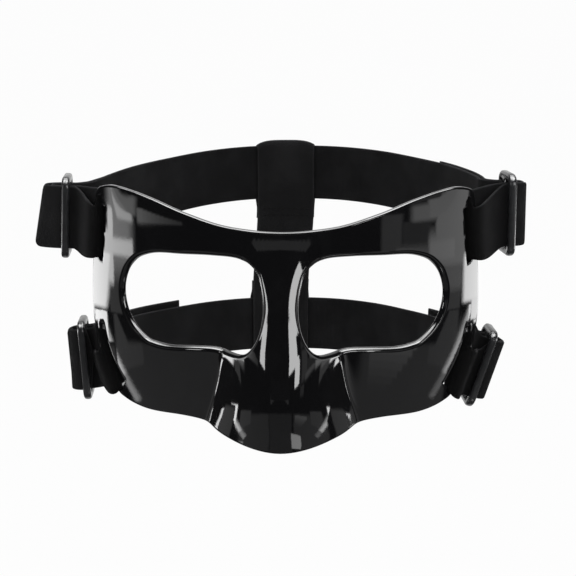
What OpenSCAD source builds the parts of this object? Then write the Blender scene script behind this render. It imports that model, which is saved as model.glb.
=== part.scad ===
// Nose guard face mask: a moulded shield with two eye openings, three foam pads,
// two elastic head bands, a strap behind the head and four strap sliders.
// X runs across the face, -Y is the front, Z is up. Millimetres.

/* [Shield] */
// Width of the shield, laid flat round its wrap
shield_w = 192; // [184:1:200]
// Height from the bottom of the nose to the middle of the brow edge
shield_h = 89.3; // [86:0.5:93]
// Radius of the wrap round the face
wrap_r = 110; // [104:1:120]
// Wall thickness
wall = 3; // [2.6:0.1:3.2]
// Rounding of the moulded edges
edge_r = 0.9; // [0.5:0.1:1.2]
// How far the cheeks fall back below the eyes
cheek_fall = 5; // [2:0.5:8]
// Distance from the side loops forward to the brow
brow_reach = 52; // [48:1:56]

/* [Nose] */
// How far the nose stands out
nose_h = 26; // [20:0.5:29]
// Half width of the bridge where it meets the face
bridge_half_w = 15.5; // [14:0.5:17]
// Widening of the nose, per mm of height
nose_flare = 0.31; // [0.25:0.01:0.34]
// Height of the start of the nose above the loops' middle
nose_top = 27; // [24:1:29]
// Length of the nose from its start to its base
nose_len = 69; // [66:1:74]

/* [Eye openings] */
// Width of the bridge left between the openings
bridge_w = 16; // [15:0.5:18]
// Width of an opening, laid flat
eye_w = 67; // [62:0.5:68]
// Height of an opening
eye_h = 40; // [36:0.5:41]
// Height of the openings' middle
eye_z = 3.3; // [2:0.1:4.5]

/* [Strap slots] */
// Width of the bar that a band wraps round
bar_w = 4.5; // [4:0.1:5]
// Width of a slot
slot_w = 3.5; // [3.2:0.1:3.8]
// Play of the band along an upper slot, both ends together
upper_slot_play = 2.2; // [1.8:0.1:3]
// Play of the band along a lower slot, both ends together
lower_slot_play = 8; // [6:0.5:9]

/* [Head bands] */
// Width of an elastic band
band_w = 28; // [25:0.5:28.5]
// Thickness of a band
band_t = 1.4; // [1.1:0.1:1.5]
// Distance from the side loops back to the bands' middle
head_reach = 139; // [125:1:150]
// Half width of the upper band round the head
upper_half_w = 98; // [95:1:101]
// Half width of the lower band round the head
lower_half_w = 94; // [92:1:97]
// Height of the upper band's middle behind the head
upper_back_z = 33; // [30:0.5:36]
// Height of the lower band's middle behind the head
lower_back_z = -48.5; // [-53:0.5:-45]
// Gap between a band and its own free tail
tail_gap = 0.7; // [0.5:0.1:1]

/* [Back strap] */
// Width of the strap that joins the bands behind the head
strap_w = 30; // [26:1:34]
// Place of the strap on the upper band, from the middle
strap_upper_x = -5; // [-8:0.5:8]
// Place of the strap on the lower band, from the middle
strap_lower_x = -8; // [-10:0.5:10]
// Thickness of the strap
strap_t = 1.4; // [1.1:0.1:1.6]
// Clearance of the strap's sewn loops round a band
strap_gap = 0.3; // [0.2:0.05:0.4]
// Length of the sewn flap past a band's edge
flap_len = 10; // [7:0.5:13]

/* [Sliders] */
// Length of a slider along the band's width
slider_len = 36.5; // [35.5:0.5:39]
// Depth of a slider, front rail to rear rail
slider_d = 21; // [20:0.5:23]
// Thickness of a slider
slider_t = 3.5; // [3:0.1:3.7]
// Width of the middle bar
mid_bar_w = 4; // [3.6:0.1:4.2]
// Width of each of the two slots in a slider
pass_w = 5; // [4.8:0.1:5.3]
// Play of a band along a slider's slots, both ends together
pass_play = 2; // [1.6:0.1:2.8]
// Travel of a slider towards the shield
travel_in = 1.5; // [1:0.1:1.7]
// Travel of a slider away from the shield
travel_out = 3; // [2:0.1:3.2]

/* [Pads] */
// Thickness of a foam pad at its crown
pad_t = 7; // [5:0.5:9]
// Glue line between a pad and the shield
pad_gap = 0.45; // [0.4:0.05:0.6]
// Half length of the brow pad
brow_pad_half_l = 58; // [50:1:62]
// Half height of the brow pad
brow_pad_half_h = 5.2; // [4.5:0.1:5.6]
// Half length of a cheek pad
cheek_pad_half_l = 20; // [16:0.5:22]
// Half height of a cheek pad
cheek_pad_half_h = 9.5; // [8:0.5:10]

/* [Hidden] */

// Left and right are the wearer's image in the front view: left is -X, right is +X.
LEFT = -1;
RIGHT = 1;

// Half of the shield's edge, laid flat, from the brow's middle round the side to the nose's base.
// Each point is a share of the half width and a height in the drawn size.
drawn_h = 89.3;
drawn_top = 34.3;
EDGE = [[0, 34.3], [0.23, 35.8], [0.428, 40.6], [0.605, 45.7], [0.771, 48.7], [0.891, 48.6], [0.956, 44.6],
  [0.977, 28], [1, 8], [1, -10], [0.952, -26], [0.852, -40.5], [0.781, -45], [0.647, -47.8],
  [0.459, -48], [0.344, -49.2], [0.251, -52], [0, -55.6]];
// The opening's outline for a unit width and a unit half height, paired with the points of EDGE,
// and then with steps up the middle of the nose.
EYE = [[0.045, 0.74], [0.149, 0.96], [0.328, 1.005], [0.522, 0.99], [0.701, 0.97], [0.821, 0.875],
  [0.896, 0.735], [0.963, 0.485], [1, 0.11], [0.982, -0.29], [0.918, -0.63], [0.813, -0.895],
  [0.739, -0.97], [0.627, -1], [0.448, -0.96], [0.328, -0.94], [0.231, -0.965], [0.127, -0.935],
  [0.064, -0.755], [0.025, -0.505], [0.004, -0.215], [0, 0.085], [0.013, 0.435]];
edge_last = len(EDGE) - 1;
pair_count = len(EYE);
// Steps between two points of an outline, and rings between the outline and the opening
sub = 3;
RINGS = [0, 0.1, 0.25, 0.45, 0.65, 0.83, 1];
ring_count = len(RINGS);

// Small maths
function ramp(q, soft) = (q + sqrt(q * q + soft * soft)) / 2;
function unit(v) = v / norm(v);
function mix(a, b, k) = a * (1 - k) + b * k;
function flip(p) = [-p[0], p[1], p[2]];
function reversed(list) = [for (i = [len(list) - 1:-1:0]) list[i]];
// A curve through b and c that leaves towards a and d, at k from 0 to 1
function curve(a, b, c, d, k) =
  (2 * b + (c - a) * k + (2 * a - 5 * b + 4 * c - d) * k * k + (3 * b - a - 3 * c + d) * k * k * k) / 2;

// The shield's outer face, from a place s round the wrap and a height z
nose_soft = 0.14;
crease_soft = 0.25;
tip_at = 0.95;
tip_turn = 1.3;
flare_from = 5;
flare_soft = 6;
cheek_span = 48;
function deg(s) = s / wrap_r * 180 / PI;
function nose_rise(z) = let (k = (nose_top - z) / nose_len)
  nose_h * (ramp(k, nose_soft) - tip_turn * ramp(k - tip_at, nose_soft));
function nose_half_w(z) = bridge_half_w + nose_flare * ramp(flare_from - z, flare_soft);
function fall(z) = cheek_fall * pow(max(0, -z) / cheek_span, 2);
function face(s, z) = let (x = wrap_r * sin(deg(s)))
  [x, -brow_reach + wrap_r * (1 - cos(deg(s))) + fall(z)
    - nose_rise(z) * ramp(1 - pow(x / nose_half_w(z), 2), crease_soft), z];
tiny = 0.05;
function face_s(s, z) = face(s + tiny, z) - face(s - tiny, z);
function face_z(s, z) = face(s, z + tiny) - face(s, z - tiny);
function out_dir(s, z) = unit(cross(face_s(s, z), face_z(s, z)));
// The point that lies a depth below the outer face
function below(p, depth) = face(p[0], p[1]) - out_dir(p[0], p[1]) * depth;

// The half shield's edge and the opening's edge, laid flat
half_w = shield_w / 2;
h_scale = shield_h / drawn_h;
function edge_at(i) = let (past = i < 0 || i > edge_last, k = i < 0 ? -i : past ? 2 * edge_last - i : i)
  [(past ? -1 : 1) * EDGE[k][0] * half_w, drawn_top + (EDGE[k][1] - drawn_top) * h_scale];
function edge(t) = let (i = min(floor(t), edge_last - 1))
  curve(edge_at(i - 1), edge_at(i), edge_at(i + 1), edge_at(i + 2), t - i);
function eye_at(i) = let (p = EYE[(i + pair_count) % pair_count])
  [bridge_w / 2 + p[0] * eye_w, eye_z + p[1] * eye_h / 2];
function eye(t) = let (i = floor(t)) curve(eye_at(i - 1), eye_at(i), eye_at(i + 1), eye_at(i + 2), t - i);
function on_nose(t) = t > edge_last;
function outer(t) = on_nose(t)
  ? [0, mix(edge(edge_last)[1], edge(0)[1], (t - edge_last) / (pair_count - edge_last))] : edge(t);

// One column of the shield's skin: front rings inwards, round the opening's edge, back rings
// outwards, then round the shield's own edge
stations = pair_count * sub;
rows = 2 * ring_count + 4;
function at_middle(t) = on_nose(t) || t == 0 || t == edge_last;
// The first ring is set in by the edge's rounding, along the middle line where the edge meets it
function first_ring(t) = let (o = outer(t), e = eye(t))
  on_nose(t) ? o : t == 0 ? o - [0, edge_r] : t == edge_last ? o + [0, edge_r] : o + unit(e - o) * edge_r;
function last_ring(t) = let (e = eye(t)) e + unit(outer(t) - e) * edge_r;
function ring(t, r) = mix(first_ring(t), last_ring(t), RINGS[r]);
function column(t) = concat(
  [for (r = [0:ring_count - 1]) below(ring(t, r), 0)],
  [below(eye(t), edge_r), below(eye(t), wall - edge_r)],
  [for (r = [ring_count - 1:-1:0]) below(ring(t, r), wall)],
  [below(outer(t), wall - edge_r), below(outer(t), edge_r)]);
half_points = [for (k = [0:stations - 1]) each column(k / sub)];
skin_points = concat(half_points, [for (p = half_points) flip(p)]);
// Rows that both halves share on the middle line, and rows that the middle line has no use for
function shared(k, r) = at_middle(k / sub) && (r == 0 || r >= 2 * ring_count + 1);
function skipped(k, r) = r >= 2 * ring_count + 1 && k >= edge_last * sub;
function vertex(half, k, r) = (half == 1 && shared(k, r) ? 0 : half) * stations * rows + k * rows + r;
skin_faces = [for (half = [0:1], k = [0:stations - 1], r = [0:rows - 1]) if (!skipped(k, r))
  let (k2 = (k + 1) % stations, r2 = (r + 1) % rows, a = vertex(half, k, r), b = vertex(half, k2, r),
    c = vertex(half, k2, r2), d = vertex(half, k, r2))
    each half == 0 ? [[a, b, c], [a, c, d]] : [[a, c, b], [a, d, c]]];

// The slots, each at a place on the shield's edge, and the bar outside each: its middle and its frame
upper_slot_t = 6.82;
lower_slot_t = 10.2;
function slot_len(t) = band_w + (t == upper_slot_t ? upper_slot_play : lower_slot_play);
edge_window = 0.3;
function edge_dir(t) = unit(edge(t + edge_window) - edge(t - edge_window));
function inward(t) = let (d = edge_dir(t)) [d[1], -d[0]];
function slot_flat(t) = edge(t) + inward(t) * (bar_w + slot_w / 2);
function bar_flat(t) = edge(t) + inward(t) * bar_w / 2;
function turned(v, side) = side == RIGHT ? v : flip(v);
function slot_up(t) = let (p = slot_flat(t), d = edge_dir(t))
  -unit(face_s(p[0], p[1]) * d[0] + face_z(p[0], p[1]) * d[1]);
function slot_out(t) = let (p = slot_flat(t)) out_dir(p[0], p[1]);
function slot_side(t) = unit(cross(slot_up(t), slot_out(t)));
function bar_mid(t) = let (p = bar_flat(t)) below(p, wall / 2);

module placed(x_dir, y_dir, z_dir, at) {
  multmatrix([for (i = [0:2]) [x_dir[i], y_dir[i], z_dir[i], at[i]]]) children();
}

module slot_cutter(t, side) {
  mid = turned(below(slot_flat(t), wall / 2), side);
  up = turned(slot_up(t), side);
  out = turned(slot_out(t), side);
  through = 4 * wall;
  placed(cross(up, out), up, out, mid)
    linear_extrude(through, center = true)
      round_slot(slot_w, slot_len(t));
}

module round_slot(w, l) {
  square([w, l - w], center = true);
  for (end = [-1, 1]) translate([0, end * (l - w) / 2]) circle(d = w, $fn = 32);
}

// A ribbon through stations, each a point and the way its width runs
function dir_at(list, i) = unit(list[min(i + 1, len(list) - 1)][0] - list[max(i - 1, 0)][0]);
function ribbon_corners(list, i, w, t) = let (p = list[i][0], half = list[i][1] * w / 2,
  n = unit(cross(half, dir_at(list, i))) * t / 2) [p + half + n, p + half - n, p - half - n, p - half + n];
module ribbon(list, w, t) {
  n = len(list);
  points = [for (i = [0:n - 1]) each ribbon_corners(list, i, w, t)];
  sides = [for (i = [0:n - 2], c = [0:3]) let (a = 4 * i + c, b = 4 * i + (c + 1) % 4)
    each [[a, a + 4, b], [b, a + 4, b + 4]]];
  ends = [[0, 1, 2], [0, 2, 3], [4 * n - 4, 4 * n - 2, 4 * n - 3], [4 * n - 4, 4 * n - 1, 4 * n - 2]];
  polyhedron(points, concat(sides, ends));
}

// The four side loops: side, place on the shield's edge, the slider's middle from its bar
// (outwards, back, up), its lean outwards, its turn, the loop's reach, how much further out the loop's
// foot lies than its top, where the tail stops, and how far the band's front pass lies below its back pass
LOOPS = [
  [LEFT, upper_slot_t, [17.9, 21.5, 0], -2, -5, 12.2, 4, 5.05, 1],
  [RIGHT, upper_slot_t, [17.5, 21.5, 2.2], 0, 9, 8, 0, 3.7, 1],
  [LEFT, lower_slot_t, [13.4, 22, -6], 4, -4, 6.6, 1.2, 2.85, 5],
  [RIGHT, lower_slot_t, [9.1, 22, -8], 18, 6, 7.2, 0, 3.75, 5]];
UPPER_LEFT = LOOPS[0];
UPPER_RIGHT = LOOPS[1];
LOWER_LEFT = LOOPS[2];
LOWER_RIGHT = LOOPS[3];
function side_of(loop) = loop[0];
function slot_of(loop) = loop[1];
function lean(loop) = loop[3];
function yaw(loop) = loop[4];
function reach(loop) = loop[5];
function foot(loop) = loop[6];
function tail_stop(loop) = loop[7];
function drop(loop) = loop[8];
function slider_mid(loop) = turned(bar_mid(slot_of(loop)) + loop[2], side_of(loop));
function up_of(loop) = [side_of(loop) * sin(lean(loop)), 0, cos(lean(loop))];
function flat_out(loop) = [side_of(loop) * cos(lean(loop)), 0, -sin(lean(loop))];
function out_of(loop) = flat_out(loop) * cos(yaw(loop)) + [0, 1, 0] * sin(yaw(loop));
function back_of(loop) = [0, 1, 0] * cos(yaw(loop)) - flat_out(loop) * sin(yaw(loop));
function near_slider(loop, a, b) = [slider_mid(loop) + out_of(loop) * a + back_of(loop) * b, up_of(loop)];
function near_bar(loop, a, n, rise) = let (t = slot_of(loop), side = side_of(loop))
  [turned(bar_mid(t) + slot_side(t) * a + slot_out(t) * n + slot_up(t) * rise, side),
    turned(slot_up(t), side)];

// Lanes of the two passes of band through a slider, from its middle bar outwards
lane_clear = 0.5;
lane_apart = 0.8;
inner_lane = mid_bar_w / 2 + lane_clear + band_t / 2;
outer_lane = inner_lane + band_t + lane_apart;
// Where a lane starts on the shield's side, and where the two loops begin to turn
entry_clear = 0.6;
loop_slack = 1.15;
lane_in = -slider_t / 2 - travel_in - entry_clear;
inner_loop_at = slider_t / 2 + travel_out - loop_slack;
outer_loop_at = 1.5;
loop_steps = 8;
// How far the band rides off the middle of the bar, behind it and before it, and the turn round it
back_ride = wall / 2 + 1.2 + band_t / 2;
front_ride = wall / 2 + 0.5 + band_t / 2;
turn_at = 0.75 - bar_w / 2;
bar_lead = bar_w / 2 + 0.8;
// Bends of the standing band and of its tail before a slider, each towards the shield and back
FAR_BEND = [5.9, 5.3];
NEAR_BEND = [2, 1.5];
TAIL_BEND = [1.8, 1.7];
NO_BEND = [0, 0];
function before_slider(loop, lane, bend) = near_slider(loop, lane_in - bend[0], lane + bend[1]);

// The bands' route round the head, as shares of the band's half width and of the reach behind the head
ROUTE = [[0, 1], [0.24, 0.965], [0.45, 0.84], [0.62, 0.65], [0.75, 0.47], [0.83, 0.3], [0.87, 0.17]];
route_last = len(ROUTE) - 1;
route_steps = 3;
tail_from = route_last + 0.85;
tail_steps = 10;
// Near a slider the route keeps to the half width that it was drawn for, whatever the band's own
drawn_upper_half_w = 98;
drawn_lower_half_w = 94;
route_keep = 0.47;
function drawn_half(loop) = slot_of(loop) == upper_slot_t ? drawn_upper_half_w : drawn_lower_half_w;
function half_at(loop, half, share) = let (k = min(1, share / route_keep))
  mix(drawn_half(loop), half, k * k * (3 - 2 * k));
function route_at(loop, half, back_z, i) =
  i > route_last + 1 ? before_slider(loop, inner_lane, NO_BEND)[0] :
  i > route_last ? before_slider(loop, inner_lane, FAR_BEND)[0] :
  let (p = ROUTE[abs(i)], z = mix(slider_mid(loop)[2], back_z, p[1]))
    [(i < 0 ? -1 : 1) * side_of(loop) * p[0] * half_at(loop, half, p[1]), p[1] * head_reach, z];
function route(loop, half, back_z, t) = let (i = min(floor(t), route_last))
  curve(route_at(loop, half, back_z, i - 1), route_at(loop, half, back_z, i),
    route_at(loop, half, back_z, i + 1), route_at(loop, half, back_z, i + 2), t - i);
function route_up(loop, t) = unit(mix([0, 0, 1], up_of(loop), pow(min(1, t / (route_last + 1)), 3)));
// A place beside the route, on its outer side
function beside(loop, half, back_z, t, off) =
  let (d = route(loop, half, back_z, t + tiny) - route(loop, half, back_z, t - tiny),
    n = unit([-d[1], d[0], 0]))
      route(loop, half, back_z, t) + n * (n[1] > 0 || n[0] * side_of(loop) > 0 ? off : -off);

// Half a band, from the middle behind the head to the end of its free tail
function half_band(loop, half, back_z) = concat(
  [for (k = [0:(route_last + 1) * route_steps]) let (t = k / route_steps)
    [route(loop, half, back_z, t), route_up(loop, t)]],
  [before_slider(loop, inner_lane, NEAR_BEND), before_slider(loop, inner_lane, NO_BEND)],
  [for (k = [0:loop_steps]) let (u = 180 * k / loop_steps)
    near_slider(loop, inner_loop_at + inner_lane * sin(u), inner_lane * cos(u))],
  [near_slider(loop, lane_in, -inner_lane), near_bar(loop, bar_lead, -back_ride, drop(loop) / 2)],
  [for (k = [0:loop_steps]) let (u = 180 * k / loop_steps - 90, ride = u < 0 ? back_ride : front_ride)
    near_bar(loop, turn_at - front_ride * cos(u), ride * sin(u), -drop(loop) / 2 * sin(u))],
  [near_bar(loop, bar_lead, front_ride, -drop(loop) / 2), near_slider(loop, lane_in, -outer_lane)],
  [for (k = [0:loop_steps])
    let (u = 180 * k / loop_steps, a = outer_loop_at + (reach(loop) - outer_loop_at) * sin(u),
      s = near_slider(loop, a, -outer_lane * cos(u)))
        [s[0], s[1] - out_of(loop) * foot(loop) / band_w * sin(u)]],
  [before_slider(loop, outer_lane, NO_BEND), before_slider(loop, outer_lane, TAIL_BEND)],
  [for (k = [0:tail_steps]) let (t = mix(tail_from, tail_stop(loop), k / tail_steps))
    [beside(loop, half, back_z, t, band_t + tail_gap), route_up(loop, t)]]);
function whole_band(left, right, half, back_z) = let (r = half_band(right, half, back_z))
  concat(reversed(half_band(left, half, back_z)), [for (i = [1:len(r) - 1]) r[i]]);

// The back strap, folded round both bands and sewn back on itself
strap_ride = band_t / 2 + strap_gap + strap_t / 2;
strap_cols = 6;
fold_steps = 6;
fold_round = 0.8;
// The sewn flap lies on the strap, then lifts to pass the band's edge
flap_ride = strap_t + 0.1 - strap_ride;
flap_lift = 4;
flap_past = 1.4;
flap_hug = 2;
edge_z = -band_w / 2;
STRAP_FOLD = concat(
  [[edge_z - flap_len, flap_ride], [edge_z - flap_lift, flap_ride], [edge_z - flap_past, strap_ride * 0.87],
    [edge_z + flap_hug, strap_ride]],
  [for (k = [0:fold_steps]) let (u = 180 * k / fold_steps)
    [-edge_z + strap_gap + strap_ride * sin(u) * fold_round, strap_ride * cos(u)]],
  [[edge_z - 1, -strap_ride]]);
// Each path step: which band it follows (0 upper, 1 lower), height from that band's middle, ride off it
STRAP_PATH = concat([for (p = STRAP_FOLD) [0, p[0], p[1]]],
  reversed([for (p = STRAP_FOLD) [1, -p[0], p[1]]]));
function strap_point(x, step) = let (low = step[0] == 1, half = low ? lower_half_w : upper_half_w,
  z = (low ? lower_back_z : upper_back_z) + step[1], at_x = x + (low ? strap_lower_x : strap_upper_x),
  p = beside(low ? LOWER_RIGHT : UPPER_RIGHT, half, 0, abs(at_x) / (ROUTE[1][0] * half), step[2]))
  [at_x < 0 ? -p[0] : p[0], p[1], z];

module strap_sheet() {
  n = len(STRAP_PATH);
  m = strap_cols + 1;
  function step_dir(i) = let (a = STRAP_PATH[max(i - 1, 0)], b = STRAP_PATH[min(i + 1, n - 1)],
    dz = b[1] - a[1] + (b[0] == a[0] ? 0 : lower_back_z - upper_back_z)) unit([dz, b[2] - a[2]]);
  function shifted(i, side) = let (d = step_dir(i), s = STRAP_PATH[i])
    [s[0], s[1] - side * strap_t / 2 * d[1], s[2] + side * strap_t / 2 * d[0]];
  points = [for (side = [-1, 1], i = [0:n - 1], c = [0:strap_cols])
    strap_point(-strap_w / 2 + strap_w * c / strap_cols, shifted(i, side))];
  skin = n * m;
  function at(side, i, c) = side * skin + i * m + c;
  sheets = [for (side = [0:1], i = [0:n - 2], c = [0:strap_cols - 1])
    let (a = at(side, i, c), b = at(side, i, c + 1), e = at(side, i + 1, c + 1), d = at(side, i + 1, c))
      each side == 0 ? [[a, e, b], [a, d, e]] : [[a, b, e], [a, e, d]]];
  long_edges = [for (i = [0:n - 2], c = [0, strap_cols])
    let (a = at(0, i, c), b = at(0, i + 1, c), e = at(1, i + 1, c), d = at(1, i, c))
      each c == 0 ? [[a, e, b], [a, d, e]] : [[a, b, e], [a, e, d]]];
  end_edges = [for (c = [0:strap_cols - 1], i = [0, n - 1])
    let (a = at(0, i, c), b = at(0, i, c + 1), e = at(1, i, c + 1), d = at(1, i, c))
      each i == 0 ? [[a, b, e], [a, e, d]] : [[a, e, b], [a, d, e]]];
  polyhedron(points, concat(sheets, long_edges, end_edges));
}

// A foam pad glued inside the shield: a rounded outline with a crown and drawn-in sides
PAD_RINGS = [0.35, 0.7, 0.92, 1];
pad_turns = 36;
pad_square = 0.75;
glued_share = 0.96;
rim_drop = 0.45;
function soft_pow(v, p) = sign(v) * pow(abs(v), p);
function pad_flat(at, half_l, half_h, tilt, rise, k, u) =
  let (s = half_l * k * soft_pow(cos(u), pad_square), z = half_h * k * soft_pow(sin(u), pad_square))
    at + [s * cos(tilt) - z * sin(tilt), s * sin(tilt) + z * cos(tilt) + rise * pow(s / half_l, 2)];
function pad_depth(k) = wall + pad_gap + pad_t * (1 - rim_drop * pow(k, 4));

module pad(at, half_l, half_h, tilt, rise) {
  n = len(PAD_RINGS);
  glued = concat([below(at, wall + pad_gap)], [for (k = PAD_RINGS, j = [0:pad_turns - 1])
    below(pad_flat(at, half_l, half_h, tilt, rise, k * glued_share, 360 * j / pad_turns), wall + pad_gap)]);
  crown = concat([below(at, pad_depth(0))], [for (k = PAD_RINGS, j = [0:pad_turns - 1])
    below(pad_flat(at, half_l, half_h, tilt, rise, k, 360 * j / pad_turns), pad_depth(k))]);
  base = n * pad_turns + 1;
  function at_ring(i, j) = 1 + i * pad_turns + j % pad_turns;
  fans = [for (j = [0:pad_turns - 1]) each [[0, at_ring(0, j + 1), at_ring(0, j)],
    [base, base + at_ring(0, j), base + at_ring(0, j + 1)]]];
  bands = [for (i = [0:n - 2], j = [0:pad_turns - 1])
    let (a = at_ring(i, j), b = at_ring(i, j + 1), c = at_ring(i + 1, j + 1), d = at_ring(i + 1, j))
      each [[a, b, c], [a, c, d], [base + a, base + c, base + b], [base + a, base + d, base + c]]];
  rim = [for (j = [0:pad_turns - 1]) let (a = at_ring(n - 1, j), b = at_ring(n - 1, j + 1))
    each [[a, b, base + b], [a, base + b, base + a]]];
  polyhedron(concat(glued, crown), concat(fans, bands, rim));
}

// A slider: a flat frame with two slots, a middle bar and rounded long sides
module round_plate(l, w, r) {
  square([l - 2 * r, w], center = true);
  square([l, w - 2 * r], center = true);
  for (x = [-1, 1], y = [-1, 1]) translate([x * (l / 2 - r), y * (w / 2 - r)]) circle(r, $fn = 32);
}

slider_r = 5;
pass_r = 1;
module slider(loop) {
  color("#2a2a2c")
    placed(out_of(loop) * loop[0], back_of(loop), up_of(loop), slider_mid(loop))
      intersection() {
        rotate([90, 0, 90])
          linear_extrude(slider_t, center = true)
            difference() {
              round_plate(slider_d, slider_len, slider_r);
              for (y = [-1, 1]) translate([y * (mid_bar_w + pass_w) / 2, 0])
                round_plate(pass_w, band_w + pass_play, pass_r);
            }
        linear_extrude(slider_len + 2, center = true)
          round_slot(slider_t, slider_d);
      }
}

// Places on the shield, and how the pads lie there
brow_pad_at = [0, 26.8];
brow_pad_rise = 11;
cheek_pad_at = [50, -32.5];
cheek_pad_tilt = 2;
cheek_pad_rise = 2;

module shield() {
  color("#111113")
    difference() {
      polyhedron(skin_points, skin_faces);
      for (side = [LEFT, RIGHT], t = [upper_slot_t, lower_slot_t]) slot_cutter(t, side);
    }
}

module brow_pad() {
  color("#1c1c1e") pad(brow_pad_at, brow_pad_half_l, brow_pad_half_h, 0, brow_pad_rise);
}

module cheek_pad() {
  pad(cheek_pad_at, cheek_pad_half_l, cheek_pad_half_h, cheek_pad_tilt, cheek_pad_rise);
}

module cheek_pad_left() {
  color("#1c1c1e") mirror([1, 0, 0]) cheek_pad();
}

module cheek_pad_right() {
  color("#1c1c1e") cheek_pad();
}

module upper_band() {
  color("#161617") ribbon(whole_band(UPPER_LEFT, UPPER_RIGHT, upper_half_w, upper_back_z), band_w, band_t);
}

module lower_band() {
  color("#161617") ribbon(whole_band(LOWER_LEFT, LOWER_RIGHT, lower_half_w, lower_back_z), band_w, band_t);
}

module back_strap() {
  color("#19191a") strap_sheet();
}

shield();
brow_pad();
cheek_pad_left();
cheek_pad_right();
upper_band();
lower_band();
back_strap();
slider(UPPER_LEFT);  // slider_upper_left
slider(UPPER_RIGHT);  // slider_upper_right
slider(LOWER_LEFT);  // slider_lower_left
slider(LOWER_RIGHT);  // slider_lower_right
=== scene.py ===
import math

import bmesh
import bpy
import numpy as np
from bpy.props import FloatProperty, FloatVectorProperty, PointerProperty
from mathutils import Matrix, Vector


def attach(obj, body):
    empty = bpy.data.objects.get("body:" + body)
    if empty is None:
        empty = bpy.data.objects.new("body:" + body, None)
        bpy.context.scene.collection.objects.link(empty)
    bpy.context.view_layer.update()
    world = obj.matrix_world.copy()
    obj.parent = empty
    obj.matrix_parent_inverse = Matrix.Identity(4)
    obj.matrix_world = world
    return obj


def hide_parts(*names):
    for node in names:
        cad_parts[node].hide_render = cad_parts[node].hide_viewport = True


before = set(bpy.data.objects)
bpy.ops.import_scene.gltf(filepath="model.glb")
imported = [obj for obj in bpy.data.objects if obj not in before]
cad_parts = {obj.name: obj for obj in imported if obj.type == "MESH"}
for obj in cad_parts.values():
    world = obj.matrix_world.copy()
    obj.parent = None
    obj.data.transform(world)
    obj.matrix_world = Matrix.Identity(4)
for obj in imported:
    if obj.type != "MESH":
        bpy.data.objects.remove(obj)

bl_info = {
    "name": "Nose guard face mask",
    "version": (1, 0, 0),
    "blender": (4, 5, 0),
    "location": "View3D > Sidebar > Face mask",
    "description": "Makes the pieces and the finishes of a nose guard face mask with head bands",
    "category": "Add Mesh",
}

# The pieces are worked out in millimetres and scaled to metres at the end.
# X runs across the face, -Y is the front, Z is up. Left is -X.
MM = 0.001
LEFT, RIGHT = -1, 1
Y = Vector((0, 1, 0))


# Settings

def label(key):
    return key.replace("_", " ").capitalize()


def length_settings(**rows):
    """Length settings, each given in millimetres and kept in metres."""
    return {key: FloatProperty(name=label(key), description=about, default=value * MM, unit="LENGTH", precision=4)
            for key, (value, about) in rows.items()}


def colour_settings(**rows):
    return {key: FloatVectorProperty(name=label(key), description=about, default=shade, subtype="COLOR",
                                     min=0, max=1)
            for key, (shade, about) in rows.items()}


def mm(value):
    """A length setting in millimetres."""
    return value / MM


class ShieldSettings(bpy.types.PropertyGroup):
    __annotations__ = length_settings(
        flat_width=(192, "Width of the shield, laid flat round its wrap"),
        height=(89.3, "Height from the bottom of the nose to the middle of the brow edge"),
        wrap_radius=(110, "Radius of the wrap round the face"),
        wall=(3, "Thickness of the moulded wall"),
        rounding=(0.9, "Rounding of the moulded edges"),
        slot_rounding=(0.25, "Rounding of the slots' edges"),
        opening_rounding=(1.9, "Rounding of the openings' front edges"),
        cheek_fall=(5, "How far the cheeks fall back below the eyes"),
        brow_reach=(52, "Distance from the side loops forward to the brow"),
        nose_height=(26, "How far the nose stands out"),
        bridge_half_width=(15.5, "Half width of the bridge where it meets the face"),
        nose_start=(27, "Height of the start of the nose"),
        nose_length=(69, "Length of the nose from its start to its base"),
        bridge_width=(16, "Width of the bridge left between the openings"),
        eye_width=(67, "Width of an opening, laid flat"),
        eye_height=(40, "Height of an opening"),
        eye_middle=(3.3, "Height of the openings' middle"),
        bar_width=(4.5, "Width of the bar that a band wraps round"),
        slot_width=(3.5, "Width of a strap slot"),
        upper_slot_length=(30.2, "Length of an upper strap slot"),
        lower_slot_length=(36, "Length of a lower strap slot"),
    )


class BandSettings(bpy.types.PropertyGroup):
    __annotations__ = length_settings(
        width=(28, "Width of an elastic band"),
        thickness=(1.4, "Thickness of a band"),
        head_reach=(139, "Distance from the side loops back to the bands' middle"),
        upper_half_width=(98, "Half width of the upper band round the head"),
        lower_half_width=(94, "Half width of the lower band round the head"),
        upper_back_height=(33, "Height of the upper band behind the head"),
        lower_back_height=(-48.5, "Height of the lower band behind the head"),
        tail_gap=(0.7, "Gap between a band and its own free tail"),
    )


class StrapSettings(bpy.types.PropertyGroup):
    __annotations__ = length_settings(
        width=(30, "Width of the strap that joins the bands behind the head"),
        thickness=(1.4, "Thickness of the strap"),
        clearance=(0.3, "Clearance of the sewn loops round a band"),
        flap_length=(10, "Length of the sewn flap past a band's edge"),
        upper_place=(-5, "Place of the strap on the upper band, from the middle"),
        lower_place=(-8, "Place of the strap on the lower band, from the middle"),
    )


class SliderSettings(bpy.types.PropertyGroup):
    __annotations__ = length_settings(
        length=(36.5, "Length of a slider along the band's width"),
        depth=(21, "Depth of a slider, front rail to rear rail"),
        thickness=(3.5, "Thickness of a slider"),
        middle_bar=(4, "Width of the middle bar"),
        pass_width=(5, "Width of each of the two slots in a slider"),
        pass_length=(30, "Length of the slots in a slider"),
        corner=(5, "Radius of the corners"),
    )


class PadSettings(bpy.types.PropertyGroup):
    __annotations__ = length_settings(
        glue_gap=(0.45, "Glue line between a pad and the shield"),
        shrink=(0.7, "How much smaller a pad starts before it swells"),
        swell=(1.2, "How far the fabric of a pad may swell"),
        grain=(1.3, "Spacing of the pads' mesh"),
    )


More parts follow.
